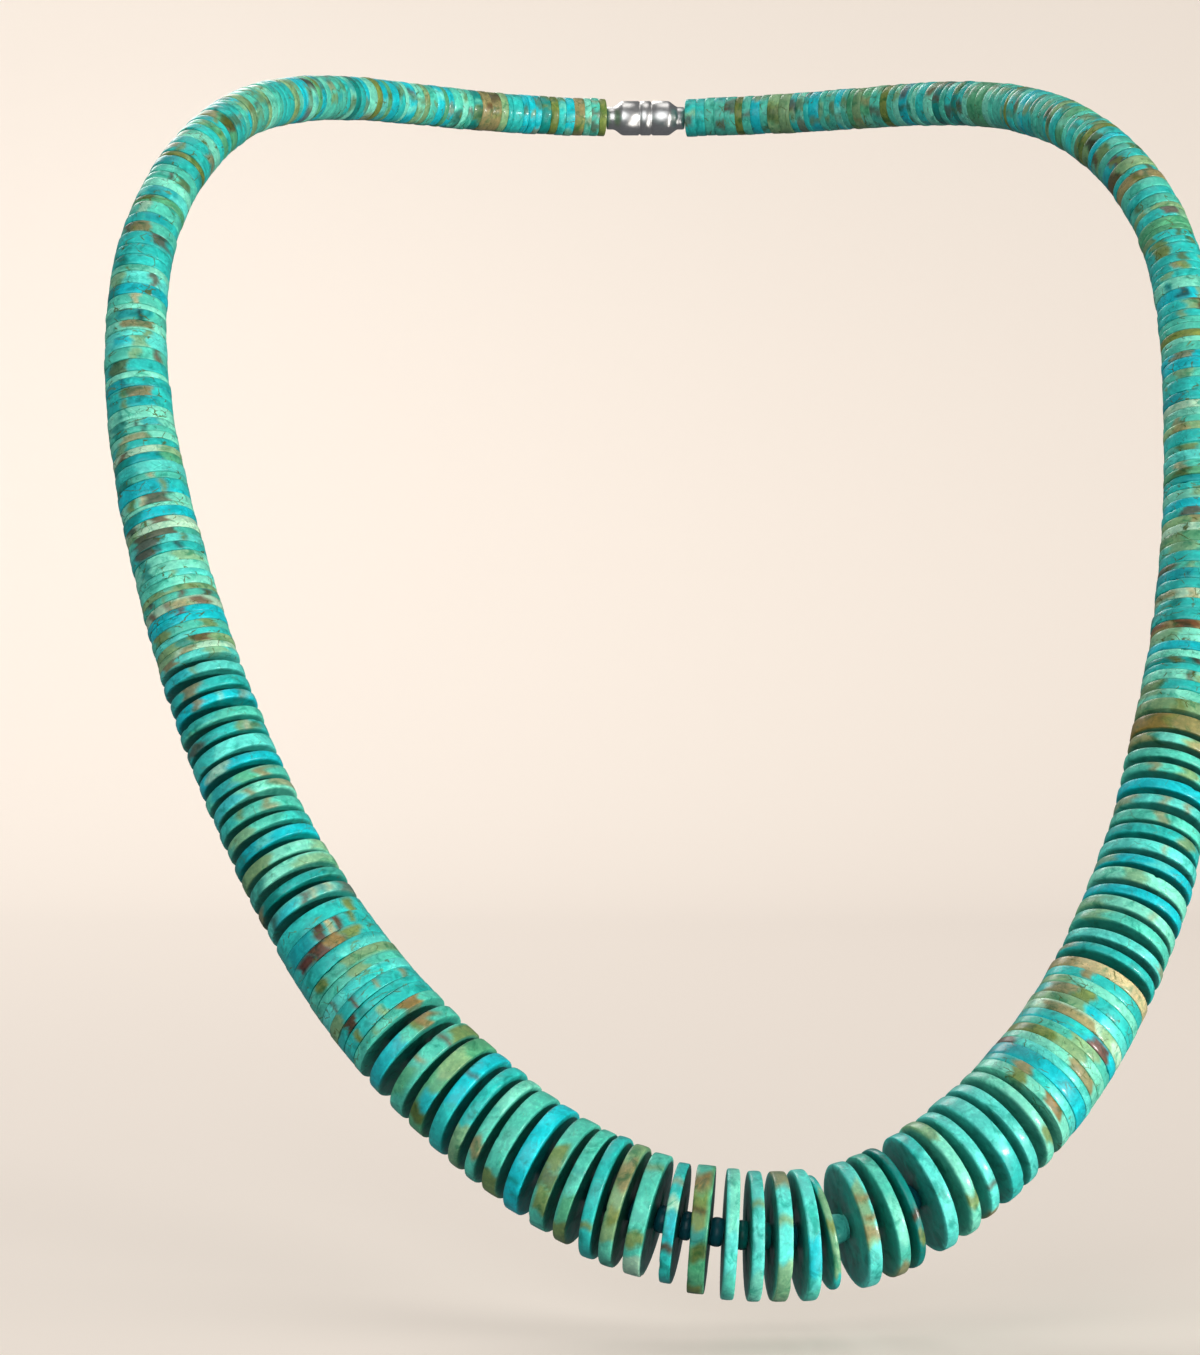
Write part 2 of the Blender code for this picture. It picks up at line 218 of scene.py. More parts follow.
# Side discs by string: thickness in millimetres, ground tone and patches, from the centre group on
SHORT_LOOKS_RIGHT = (
    (1.2, "seafoam", ((0.1, 0.28, "ochre"), (0.56, 0.59, "olive"))),
    (1.6, "turquoise", ((0.37, 0.44, "sage"), (0.7, 0.77, "olive"))),
    (1.1, "turquoise", ((0.5, 0.6, "teal"), (0.63, 0.79, "brown"))),
    (1.5, "turquoise", ((0.05, 0.08, "tan"), (0.28, 0.31, "tan"), (0.54, 0.58, "red"),
                        (0.75, 1.0, "sage"))),
    (1.4, "aqua", ((0.1, 0.6, "turquoise"), (0.74, 0.77, "brown"))),
    (1.1, "seafoam", ((0.25, 0.45, "sage"),)),
    (1.5, "seafoam", ((0.0, 0.45, "sage"), (0.67, 0.79, "olive"))),
    (1.7, "turquoise", ((0.0, 0.4, "aqua"),)),
    (1.6, "turquoise", ((0.13, 0.27, "olive"), (0.27, 0.46, "ochre"), (0.46, 0.65, "rust"),
                        (0.65, 0.85, "red"))),
    (1.8, "turquoise", ((0.1, 0.15, "olive"), (0.23, 0.29, "brown"), (0.31, 0.37, "cream"),
                        (0.41, 0.52, "brown"), (0.56, 0.88, "blue"))),
    (2.1, "turquoise", ((0.05, 0.12, "olive"),)),
)
SHORT_LOOKS_LEFT = (
    (1.4, "mint", ((0.13, 0.29, "olive"), (0.48, 0.73, "ochre"))),
    (1.2, "turquoise", ((0.13, 0.29, "tan"), (0.5, 1.0, "aqua"))),
    (1.9, "cyan", ((0.0, 0.3, "blue"),)),
    (1.1, "aqua", ((0.0, 0.05, "brown"),)),
    (1.2, "mint", ((0.5, 0.8, "tan"),)),
    (1.4, "sage", ((0.0, 0.3, "olive"), (0.6, 1.0, "mint"))),
    (1.2, "seafoam", ((0.4, 0.7, "sage"),)),
    (1.4, "cyan", ((0.0, 0.5, "turquoise"), (0.54, 0.79, "rust"))),
    (1.5, "pale", ((0.08, 0.54, "tan"), (0.6, 0.75, "sage"))),
    (1.3, "aqua", ((0.0, 0.35, "sage"), (0.38, 0.58, "cyan"))),
    (1.5, "turquoise", ((0.03, 0.22, "tan"), (0.22, 0.4, "olive"))),
    (1.2, "mint", ((0.0, 0.15, "sage"),)),
    (1.3, "turquoise", ((0.2, 0.3, "tan"),)),
    (1.5, "cream", ((0.0, 0.12, "tan"),)),
)
SPACED_LOOKS_RIGHT = (
    (1.3, "aqua", ((0.0, 0.08, "brown"), (0.12, 0.18, "cream"), (0.2, 0.24, "rust"),
                    (0.27, 0.33, "cream"), (0.34, 0.46, "rust"), (0.52, 0.8, "cyan"),
                    (0.8, 0.88, "black"))),
    (1.1, "teal", ((0.0, 0.15, "seafoam"), (0.15, 0.6, "turquoise"), (0.88, 1.0, "tan"))),
    (1.35, "mint", ((0.0, 0.35, "sage"), (0.7, 1.0, "teal"))),
    (1.35, "mint", ((0.0, 0.08, "sage"), (0.54, 1.0, "olive"))),
    (1.3, "cyan", ((0.4, 0.58, "aqua"), (0.8, 1.0, "teal"))),
    (1.15, "seafoam", ((0.0, 0.22, "turquoise"), (0.55, 0.9, "sage"))),
    (1.35, "seafoam", ((0.22, 0.33, "tan"), (0.56, 0.63, "olive"), (0.66, 1.0, "turquoise"))),
    (1.3, "mint", ((0.0, 0.2, "tan"), (0.38, 0.46, "ochre"), (0.5, 1.0, "cyan"))),
    (1.3, "seafoam", ((0.12, 0.25, "ochre"), (0.27, 0.5, "green"), (0.5, 0.9, "blue"))),
    (1.2, "cyan", ((0.52, 0.8, "pale"),)),
    (1.65, "aqua", ((0.6, 1.0, "turquoise"),)),
    (1.3, "turquoise", ((0.04, 0.12, "olive"), (0.12, 0.18, "cream"), (0.18, 0.27, "olive"),
                         (0.73, 0.9, "brown"))),
    (1.2, "seafoam", ((0.4, 1.0, "turquoise"),)),
    (1.15, "cyan", ((0.05, 0.1, "tan"), (0.3, 0.33, "pale"), (0.54, 0.68, "ochre"))),
    (1.25, "turquoise", ((0.5, 0.78, "ochre"),)),
    (1.15, "aqua", ((0.48, 0.54, "olive"), (0.54, 1.0, "cyan"))),
)
SPACED_LOOKS_LEFT = (
    (1.05, "turquoise", ((0.0, 0.06, "tan"),)),
    (1.15, "aqua", ((0.8, 1.0, "tan"),)),
    (1.35, "seafoam", ((0.04, 0.18, "sage"),)),
    (1.4, "mint", ((0.0, 0.12, "sage"), (0.57, 0.62, "tan"))),
    (1.15, "cyan", ((0.05, 0.09, "teal"),)),
    (1.6, "mint", ((0.2, 0.42, "sage"),)),
    (1.15, "cyan", ((0.0, 0.1, "sage"), (0.42, 0.6, "aqua"))),
    (1.35, "aqua", ((0.49, 0.55, "tan"),)),
    (1.3, "turquoise", ((0.66, 0.85, "olive"),)),
    (1.4, "seafoam", ((0.3, 0.46, "tan"),)),
    (1.1, "aqua", ((0.0, 0.12, "tan"), (0.35, 0.45, "tan"), (0.62, 0.7, "tan"))),
    (1.3, "cyan", ()),
    (1.1, "seafoam", ((0.18, 0.3, "tan"), (0.52, 0.7, "olive"))),
    (1.1, "seafoam", ()),
    (1.2, "sage", ((0.0, 0.18, "tan"), (0.2, 0.5, "aqua"), (0.55, 0.8, "tan"))),
    (1.95, "olive", ((0.0, 0.25, "ochre"), (0.3, 0.75, "tan"))),
)
LONG_LOOKS_RIGHT = (
    (0.9, "aqua", ((0.1, 0.3, "sage"), (0.68, 0.9, "ochre"))),
    (0.9, "pale", ((0.4, 0.6, "tan"), (0.7, 1.0, "sage"))),
    (1.0, "sage", ((0.2, 0.42, "brown"), (0.45, 0.65, "teal"))),
    (0.9, "aqua", ((0.0, 0.4, "turquoise"),)),
    (1.2, "seafoam", ((0.1, 0.3, "olive"), (0.67, 0.87, "olive"))),
    (1.1, "cyan", ((0.67, 0.7, "teal"),)),
    (0.9, "cyan", ((0.38, 0.52, "rust"),)),
    (1.2, "pale", ((0.12, 0.29, "rust"), (0.3, 0.58, "tan"), (0.58, 0.64, "rust"),
                   (0.81, 0.9, "red"))),
    (1.0, "seafoam", ((0.05, 0.14, "brown"), (0.35, 0.42, "rust"), (0.6, 0.64, "olive"),
                      (0.79, 0.86, "red"))),
    (0.8, "sage", ((0.2, 0.26, "moss"), (0.45, 0.6, "seafoam"))),
    (1.2, "mint", ((0.45, 1.0, "seafoam"),)),
    (0.9, "aqua", ((0.38, 0.46, "sage"), (0.5, 1.0, "seafoam"))),
    (1.2, "mint", ((0.7, 0.85, "teal"),)),
    (1.4, "mint", ((0.06, 0.37, "sage"), (0.7, 0.85, "teal"))),
    (1.2, "turquoise", ((0.22, 0.3, "black"), (0.5, 0.56, "black"), (0.6, 0.83, "brown"))),
    (1.1, "aqua", ((0.14, 0.2, "moss"), (0.5, 0.85, "brown"))),
    (0.9, "seafoam", ((0.25, 0.83, "brown"),)),
    (0.9, "pale", ((0.75, 1.0, "sage"),)),
    (0.8, "pale", ((0.3, 0.55, "brown"), (0.8, 0.9, "black"))),
    (1.4, "cyan", ((0.16, 0.3, "blue"), (0.65, 1.0, "teal"))),
    (0.6, "mint", ()),
    (1.3, "mint", ((0.23, 0.54, "brown"), (0.54, 0.62, "cream"), (0.7, 0.85, "olive"))),
    (2.0, "cyan", ((0.22, 0.3, "olive"), (0.0, 0.2, "turquoise"))),
    (0.9, "seafoam", ((0.38, 0.45, "cream"), (0.7, 1.0, "teal"))),
    (1.7, "aqua", ((0.6, 1.0, "turquoise"),)),
    (1.2, "teal", ((0.0, 0.2, "green"), (0.25, 0.7, "blue"))),
    (0.9, "pale", ((0.0, 0.2, "sage"), (0.74, 0.87, "brown"))),
    (1.1, "turquoise", ((0.72, 0.86, "sage"),)),
    (1.0, "mint", ((0.35, 0.75, "tan"),)),
    (0.8, "seafoam", ((0.36, 0.42, "black"), (0.65, 0.9, "teal"))),
    (1.1, "mint", ((0.14, 0.4, "blue"), (0.46, 0.52, "black"), (0.65, 0.9, "teal"))),
    (1.7, "mint", ((0.7, 0.75, "teal"),)),
    (1.4, "turquoise", ((0.18, 0.55, "blue"), (0.6, 0.67, "olive"))),
    (1.4, "turquoise", ((0.19, 0.62, "ochre"), (0.62, 0.72, "olive"))),
    (1.3, "blue", ((0.0, 0.6, "turquoise"), (0.64, 0.68, "black"))),
    (0.9, "mint", ()),
    (1.7, "turquoise", ((0.55, 0.85, "moss"),)),
    (1.7, "seafoam", ((0.06, 0.14, "rust"), (0.35, 0.5, "sage"))),
    (1.6, "aqua", ((0.23, 0.5, "sage"), (0.52, 0.8, "cyan"))),
    (0.9, "aqua", ((0.18, 0.28, "olive"),)),
    (1.3, "mint", ((0.12, 0.65, "ochre"),)),
    (1.6, "seafoam", ((0.17, 0.77, "blue"), (0.32, 0.4, "black"))),
    (0.8, "mint", ()),
    (1.5, "seafoam", ((0.4, 0.52, "cream"),)),
    (1.5, "cyan", ((0.05, 0.35, "blue"), (0.8, 1.0, "teal"))),
    (1.8, "aqua", ((0.1, 0.25, "brown"), (0.7, 0.95, "sage"))),
    (0.9, "mint", ()),
    (1.6, "turquoise", ((0.7, 0.85, "deep"),)),
    (1.6, "turquoise", ()),
    (2.0, "turquoise", ((0.05, 0.34, "brown"), (0.36, 0.46, "blue"))),
    (1.6, "seafoam", ((0.45, 0.8, "ochre"), (0.8, 0.92, "brown"))),
    (1.5, "turquoise", ((0.2, 0.6, "blue"),)),
    (1.8, "seafoam", ((0.55, 0.75, "pale"),)),
    (1.1, "green", ((0.6, 0.92, "moss"),)),
    (1.6, "aqua", ((0.25, 0.75, "blue"),)),
    (1.5, "mint", ()),
    (1.2, "seafoam", ((0.1, 0.32, "moss"), (0.4, 0.5, "brown"))),
)
LONG_LOOKS_LEFT = (
    (1.5, "sage", ((0.3, 0.42, "olive"),)),
    (1.4, "mint", ((0.0, 0.18, "sage"),)),
    (1.4, "turquoise", ((0.0, 0.15, "olive"),)),
    (1.4, "mint", ((0.4, 0.48, "brown"), (0.5, 0.58, "olive"))),
    (0.9, "turquoise", ()),
    (0.9, "teal", ((0.18, 0.3, "moss"), (0.45, 0.55, "brown"))),
    (1.1, "mint", ()),
    (1.2, "cyan", ()),
    (1.8, "mint", ((0.0, 0.25, "sage"),)),
    (1.2, "tan", ((0.0, 0.1, "rust"), (0.2, 0.42, "rust"))),
    (1.7, "turquoise", ()),
    (1.4, "turquoise", ((0.08, 0.22, "deep"),)),
    (1.4, "pale", ((0.0, 0.12, "tan"), (0.28, 0.42, "cream"))),
    (1.4, "turquoise", ()),
    (1.5, "blue", ((0.3, 1.0, "turquoise"),)),
    (1.0, "seafoam", ((0.0, 0.12, "brown"), (0.26, 0.34, "sage"))),
    (1.5, "turquoise", ()),
    (1.4, "seafoam", ((0.05, 0.4, "sage"),)),
    (1.5, "sage", ((0.2, 0.6, "green"),)),
    (1.1, "pale", ()),
    (1.1, "sage", ((0.3, 0.42, "tan"),)),
    (1.2, "turquoise", ((0.15, 0.4, "brown"),)),
    (1.3, "cyan", ()),
    (1.4, "mint", ((0.3, 0.5, "sage"),)),
    (1.0, "turquoise", ()),
    (1.0, "turquoise", ((0.2, 0.5, "blue"),)),
    (1.0, "green", ((0.1, 0.26, "moss"),)),
    (1.1, "seafoam", ((0.1, 0.22, "cream"),)),
    (1.4, "aqua", ()),
    (1.1, "seafoam", ((0.15, 0.35, "olive"),)),
    (1.8, "turquoise", ()),
    (1.1, "sage", ((0.1, 0.26, "tan"),)),
    (1.0, "seafoam", ((0.1, 0.2, "tan"),)),
    (1.1, "mint", ()),
    (1.1, "pale", ((0.5, 1.0, "mint"),)),
    (1.4, "blue", ((0.2, 1.0, "turquoise"),)),
    (1.9, "turquoise", ()),
    (1.3, "seafoam", ((0.1, 0.4, "sage"),)),
)

# The two sides, 1 for the wearer's right and -1 for the left
Side = namedtuple("Side", "label short_count long_count short_looks spaced_looks long_looks")
SIDES = {
    1: Side("right", SHORT_RUN_COUNT_RIGHT, LONG_RUN_COUNT_RIGHT,
            SHORT_LOOKS_RIGHT, SPACED_LOOKS_RIGHT, LONG_LOOKS_RIGHT),
    -1: Side("left", SHORT_RUN_COUNT_LEFT, LONG_RUN_COUNT_LEFT,
             SHORT_LOOKS_LEFT, SPACED_LOOKS_LEFT, LONG_LOOKS_LEFT),
}

# How often each tone is a random disc's ground and a random patch's tone, then how many patches
# there are, and where they start and how wide they are across the rim
GROUND_SPREAD = {
    "turquoise": 30,
    "seafoam": 26,
    "mint": 10,
    "green": 9,
    "cyan": 7,
    "sage": 7,
    "teal": 5,
    "olive": 3,
    "tan": 2,
}
PATCH_SPREAD = {
    "olive": 20,
    "moss": 12,
    "brown": 10,
    "rust": 6,
    "tan": 10,
    "sage": 16,
    "blue": 8,
    "mint": 12,
    "black": 4,
}
PATCH_COUNTS = (0, 1, 1, 2, 2, 3)
PATCH_START = (-0.1, 0.9)
PATCH_WIDTH = (0.06, 0.35)

# Thickness of the random discs in millimetres, and the length that is too short for one more
RANDOM_THICKNESS = (0.8, 1.9)
LEAST_THICKNESS = 0.4

# Groups of discs: the sides of their mesh, the radius of their edges in metres, the most chips,
# whether the outline has all its points, the share of veins, how far a disc may sit off the
# thread in metres, and how softly its patches blend
DiscStyle = namedtuple("DiscStyle", "sides rounding chips full veins drift blend")
CENTER_STYLE = DiscStyle(144, 0.00021, 3, True, 0.20, 0.0, 0.4)
SPACED_STYLE = DiscStyle(104, 0.00018, 3, True, 0.35, 0.00008, 0.8)
SHORT_STYLE = DiscStyle(104, 0.00009, 3, False, 0.80, 0.000024, 0.2)
LONG_STYLE = DiscStyle(72, 0.00015, 3, False, 0.90, 0.000064, 0.6)
BACK_STYLE = DiscStyle(40, 0.00015, 3, False, 0.80, 0.000064, 1.0)
SPACER_STYLE = DiscStyle(24, 0.0006, 0, False, 0.0, 0.0, 0.0)

# Spread of the discs' radii as shares, and of the spaced discs' lean and turn in degrees
SHORT_RADII = (0.994, 1.003)
SPACED_RADII = (0.985, 1.010)
LONG_RADII = (0.984, 1.008)
SPACER_RADII = (0.92, 1.0)
SPACED_LEAN = 2.0

# Share of its room that a packed disc and a spacer bead fill
PACKED_SHARE = 0.985
SPACER_SHARE = 0.96

# Tones of the spacer beads, which are dark but for the one in a gap of this number
SPACER_TONES = ("petrol", "teal", "petrol")
BRIGHT_SPACER = 20
BRIGHT_SPACER_TONE = "aqua"

# A disc's outline: angles down a rounded corner, places and swelling across the rim as shares,
# and places of the rings on a face
FULL_CORNER = (90.0, 62.0, 35.0, 10.0)
PLAIN_CORNER = (90.0, 48.0, 12.0)
RIM_SWELL = ((0.5, 0.08), (0.0, 0.12), (-0.5, 0.08))
FULL_FACE = (0.88, 0.5)
PLAIN_FACE = (0.6,)
BORE_BEVEL = 0.5

# How uneven a disc is, as shares
ROUNDING_SPREAD = (0.7, 1.15)
MOST_ROUNDING = 0.55
OUT_OF_ROUND = 0.006
UNEVEN_FACES = 0.05

# Chips: depth in metres and its spread, width round the rim in radians, and reach in edge radii
CHIP_SIZE = 0.00016
CHIP_DEPTH = (0.4, 1.0)
CHIP_WIDTH = (0.03, 0.12)
CHIP_REACH_DOWN = 1.5
CHIP_REACH_IN = 3.0

# Patches of tone: how ragged and soft their ends are as shares of the rim, how much more so
# when they blend, their swirl, their place and reach across the thickness, and where they stop
RAGGED = 0.018
RAGGED_BLEND = 1.5
RAGGED_WIDTH = 0.15
LEAST_RAGGED = 0.3
PATCH_SOFTNESS = 0.02
SOFTNESS_BLEND = 3.0
BLEND_FADE = 0.3
SWIRL_HEIGHT = 2.6
SWIRL_WAVES = 2.0
PATCH_MIDDLE = 0.7
PATCH_EXTENT = (1.1, 2.0)
PATCH_END_SOFTNESS = 0.35
BACK_OF_RIM = -0.25
TONE_SPREAD = (0.90, 1.08)

# Faces: the share of the deep tone painted on them as shade between the discs, how far patches
# fade, and where this starts, in edge radii
FACE_PAINTED_SHADE = 0.72
FACE_FADE = 0.8
FACE_START = 0.9
FACE_SLOPE = 0.5

# Grain of the stone: its stretch along the bore, and the spread of its place in the noise
GRAIN_STRETCH = (1.0, 1.0, 1.4)
GRAIN_SHIFT = 50.0

# Seeds of the random draws
CENTER_SEED = 100
SIDE_SEED = 40
BACK_SEED = 60
SPACER_SEED = 5

# The way to the front, which patches are placed from, and the detail of the route
FRONT = Vector((0.0, -1.0, 0.0))
SAMPLES_PER_POINT = 60


def closed_spline(points, samples):
    """Points of a smooth closed curve through the given points, evenly spread in its parameter."""
    knots = np.array(points)
    count = len(knots)
    chords = np.linalg.norm(np.roll(knots, -1, axis=0) - knots, axis=1)
    system = np.zeros((count, count))
    right_side = np.zeros((count, 3))
    for i in range(count):
        before, after = chords[i - 1], chords[i]
        system[i, i - 1] += after
        system[i, i] += 2.0 * (before + after)
        system[i, (i + 1) % count] += before
        slope_before = (knots[i] - knots[i - 1]) / before
        slope_after = (knots[(i + 1) % count] - knots[i]) / after
        right_side[i] = 3.0 * (after * slope_before + before * slope_after)
    slopes = np.linalg.solve(system, right_side)
    curve = []
    for i in range(count):
        nxt = (i + 1) % count
        for step in range(samples):
            t = step / samples
            square, cube = t * t, t * t * t
            start_share = 2.0 * cube - 3.0 * square + 1.0
            start_slope = (cube - 2.0 * square + t) * chords[i]
            end_slope = (cube - square) * chords[i]
            curve.append(start_share * knots[i] + (1.0 - start_share) * knots[nxt]
                         + start_slope * slopes[i] + end_slope * slopes[nxt])
    return np.array(curve)


class Route:
    """The thread's closed route, measured in metres from the middle disc."""

    def __init__(self, points, clasp_point):
        curve = closed_spline(points, SAMPLES_PER_POINT)
        self.curve = np.vstack([curve, curve[:1]])
        steps = np.linalg.norm(np.diff(self.curve, axis=0), axis=1)
        self.way = np.concatenate([[0.0], np.cumsum(steps)])
        self.length = self.way[-1]
        self.clasp = self.way[clasp_point * SAMPLES_PER_POINT]

    def at(self, way):
        """Point at a way from the middle disc. A negative way goes to the wearer's left."""
        way = way % self.length
        return Vector([float(np.interp(way, self.way, self.curve[:, axis])) for axis in range(3)])

    def along(self, way):
        """Unit direction in which the way grows."""
        reach = CENTER_THICKNESS / 2.0
        return (self.at(way + reach) - self.at(way - reach)).normalized()

    def side_length(self, side):
        """Length from the middle disc to the clasp on one side, 1 for the wearer's right."""
        return self.clasp if side > 0 else self.length - self.clasp


ROUTE_CURVE = Route(ROUTE, CLASP_POINT)


def disc_diameter(way, side):
    """Diameter of a disc at a way from the middle disc along one side."""
    places, right_shares, left_shares = zip(*TAPER)
    shares = right_shares if side > 0 else left_shares
    return LARGEST_DIAMETER * float(np.interp(way / ROUTE_CURVE.side_length(side), places, shares))


def upright(way):
    """Columns: front, outwards and along the thread to the wearer's left, at a signed way."""
    axis = -ROUTE_CURVE.along(way)
    front = (FRONT - axis * FRONT.dot(axis)).normalized()
    return Matrix((front, axis.cross(front), axis)).transposed()


def linear(tone):
    """A named tone as linear colour."""
    parts = np.array(TONES[tone]) / 255.0
    return np.where(parts <= 0.04045, parts / 12.92, ((parts + 0.055) / 1.055) ** 2.4)


def add_object(name, data):
    """A new object of this data, in the scene."""
    obj = bpy.data.objects.new(name, data)
    bpy.context.scene.collection.objects.link(obj)
    return obj


class StoneMesh:
    """Gathers stone beads into one mesh, with a tone and a grain coordinate on each point."""

    def __init__(self):
        self.points, self.faces, self.tones, self.grain, self.veins = [], [], [], [], []
        self.count = 0

    def add_rings(self, rings, turn, place, tones, grain, veins):
        """rings is an array of rings by sides by 3 in the bead's own axes, closed both ways."""
        total, sides = rings.shape[:2]
        local = rings.reshape(-1, 3)
        index = np.arange(total * sides).reshape(total, sides) + self.count
        beside = np.roll(index, -1, axis=1)
        below = np.roll(index, -1, axis=0)
        quads = np.stack([index, beside, np.roll(beside, -1, axis=0), below], axis=-1)
        self.points.append(local @ np.array(turn).T + np.array(place))
        self.faces.append(quads.reshape(-1, 4))
        self.tones.append(tones.reshape(-1, 3))
        self.grain.append(grain.reshape(-1, 3))
        self.veins.append(np.full(len(local), veins))
        self.count += len(local)

    def build(self, name):
        """One object of all the beads, with the attributes that the stone's nodes read."""
        mesh = bpy.data.meshes.new(name)
        mesh.from_pydata(np.vstack(self.points).tolist(), [], np.vstack(self.faces).tolist())
        tone = mesh.color_attributes.new("tone", "FLOAT_COLOR", "POINT")
        colours = np.hstack([np.vstack(self.tones), np.ones((self.count, 1))])
        tone.data.foreach_set("color", colours.astype(np.float32).ravel())
        grain = mesh.attributes.new("grain", "FLOAT_VECTOR", "POINT")
        grain.data.foreach_set("vector", np.vstack(self.grain).astype(np.float32).ravel())
        veins = mesh.attributes.new("veins", "FLOAT", "POINT")
        veins.data.foreach_set("value", np.concatenate(self.veins).astype(np.float32))
        mesh.shade_smooth()
        mesh.update()
        return add_object(name, mesh)


def waves(angle, rng, count, first=2):
    """A smooth random function of the angle round a bead, within about plus and minus 1."""
    total = np.zeros_like(angle)
    for i in range(count):
        height = rng.uniform(-1.0, 1.0) / (i + 1.0)
        total += height * np.cos((first + i) * angle + rng.uniform(0.0, math.tau))
    return total


def rim_profile(radius, half, bore, edge, full):
    """Radius and height down the rim, over the lower face, up the bore and over the upper face."""
    corner = [math.radians(degrees) for degrees in (FULL_CORNER if full else PLAIN_CORNER)]
    upper = [(radius - edge + edge * math.cos(a), half - edge + edge * math.sin(a)) for a in corner]
    swell = [(radius + edge * share, (half - edge) * place) for place, share in RIM_SWELL]
    lower = [(r, -z) for r, z in reversed(upper)]
    face = [bore + (radius - bore) * share for share in (FULL_FACE if full else PLAIN_FACE)]
    bevel = edge * BORE_BEVEL
    under = [(r, -half) for r in face] + [(bore + bevel, -half), (bore, bevel - half)]
    over = [(r, -z) for r, z in reversed(under)]
    return np.array(upper + swell + lower + under + over)


def soft_step(distance, width):
    """0 well below a distance of 0, 1 well above it, and a slope of a given width between."""
    return np.clip(distance / width + 0.5, 0.0, 1.0)


def disc_tones(angle, height, inside, ground, patches, rng, blend):
    """Tone at each point of a disc: the ground, with ragged patches across the front rim, and
    painted shade that darkens the faces."""
    across = 0.5 + 0.5 * np.sin(angle)
    seen = np.cos(angle) > BACK_OF_RIM
    phase = rng.uniform(0.0, math.tau)
    swirl = np.sin(SWIRL_HEIGHT * height + phase + SWIRL_WAVES * waves(angle * 2.0, rng, 2))
    ragged = RAGGED * (1.0 + RAGGED_BLEND * blend) * (waves(angle * 3.0, rng, 5, 1) + swirl)
    soft = PATCH_SOFTNESS * (1.0 + SOFTNESS_BLEND * blend)
    tones = np.ones(angle.shape + (3,)) * linear(ground)
    for start, end, tone in patches:
        stray = across + ragged * min(1.0, max(LEAST_RAGGED, (end - start) / RAGGED_WIDTH))
        share = seen * (1.0 - BLEND_FADE * blend) * (1.0 - FACE_FADE * inside)
        if start > 0.0:
            share = share * soft_step(stray - start, soft)
        if end < 1.0:
            share = share * soft_step(end - stray, soft)
        middle, extent = rng.uniform(-PATCH_MIDDLE, PATCH_MIDDLE), rng.uniform(*PATCH_EXTENT)
        within = (extent - np.abs(height - middle)) / PATCH_END_SOFTNESS
        share = (share * np.clip(within, 0.0, 1.0))[..., None]
        tones = tones * (1.0 - share) + linear(tone) * share
    tones = tones * rng.uniform(*TONE_SPREAD)
    # Painted shade: the faces, which lie in the shade between the discs, are mixed towards the deep
    # tone
    shade = FACE_PAINTED_SHADE * inside[..., None]
    return tones * (1.0 - shade) + linear("deep") * shade


def add_disc(stones, way, side, radius, thickness, look, rng, style, lean=0.0, turn=0.0):
    """One drilled disc with its own chips, wobble and tones at a way along one side."""
    half = thickness / 2.0
    edge = min(style.rounding * rng.uniform(*ROUNDING_SPREAD), half * MOST_ROUNDING)
    bore = BORE_DIAMETER / 2.0
    profile = rim_profile(radius, half, bore, edge, style.full)
    true_radii, true_heights = profile[:, :1], profile[:, 1:]
    angle = np.arange(style.sides) * math.tau / style.sides
    reach = np.clip((true_radii - bore) / (radius - bore), 0.0, 1.0)
    radii = true_radii * (1.0 + OUT_OF_ROUND * waves(angle, rng, 4) * reach)
    heights = true_heights * (1.0 + UNEVEN_FACES * waves(angle, rng, 3, 1) * reach)
    near_rim = np.clip(1.0 - (radius - true_radii) / (edge * CHIP_REACH_IN), 0.0, 1.0)
    for _ in range(rng.randrange(style.chips + 1)):
        centre, width = rng.uniform(-math.pi, math.pi), rng.uniform(*CHIP_WIDTH)
        depth, end = rng.uniform(*CHIP_DEPTH) * CHIP_SIZE, rng.choice((-1.0, 1.0))
        away = (angle - centre + math.pi) % math.tau - math.pi
        down = np.abs(true_heights * end - half) / (edge * CHIP_REACH_DOWN)
        loss = depth * np.exp(-(away / width) ** 2) * np.clip(1.0 - down, 0.0, 1.0) * near_rim
        radii = radii - loss
        heights = heights - end * loss
    rings = np.stack([radii * np.cos(angle), radii * np.sin(angle), heights], axis=-1)
    # Points on the faces, where patches fade and painted shade darkens the tone
    face = (radius - edge * FACE_START - true_radii) / (edge * FACE_SLOPE)
    inside = np.broadcast_to(np.clip(face, 0.0, 1.0), radii.shape)
    around = np.broadcast_to(angle, radii.shape)
    ground, patches = look
    tones = disc_tones(around, heights / half, inside, ground, patches, rng, style.blend)
    shift = np.array([rng.uniform(-GRAIN_SHIFT, GRAIN_SHIFT) for _ in range(3)])
    grain = rings / MM * np.array(GRAIN_STRETCH) + shift
    tilt = Matrix.Rotation(math.radians(lean), 3, "X")
    tilt = tilt @ Matrix.Rotation(math.radians(turn), 3, "Y")
    base = upright(side * way)
    off = [rng.uniform(-style.drift, style.drift) for _ in range(2)]
    place = ROUTE_CURVE.at(side * way) + base @ Vector((*off, 0.0))
    stones.add_rings(rings, base @ tilt, place, tones, grain, style.veins)


def pick(spread, rng):
    """One of the names in a spread, by its weight."""
    return rng.choices(list(spread), weights=list(spread.values()))[0]


def random_look(rng):
    """A ground tone with none to three patches."""
    patches = []
    for _ in range(rng.choice(PATCH_COUNTS)):
        start = rng.uniform(*PATCH_START)
        end = start + rng.uniform(*PATCH_WIDTH)
        patches.append((max(start, 0.0), end, pick(PATCH_SPREAD, rng)))
    return pick(GROUND_SPREAD, rng), tuple(patches)


def random_run(length, rng):
    """Discs of random thickness and looks that fill a length, as rows like the charts'."""
    rows = []
    left = length / MM
    while left > LEAST_THICKNESS:
        thickness = min(rng.uniform(*RANDOM_THICKNESS), left)
        rows.append((thickness, *random_look(rng)))
        left -= thickness
    return rows


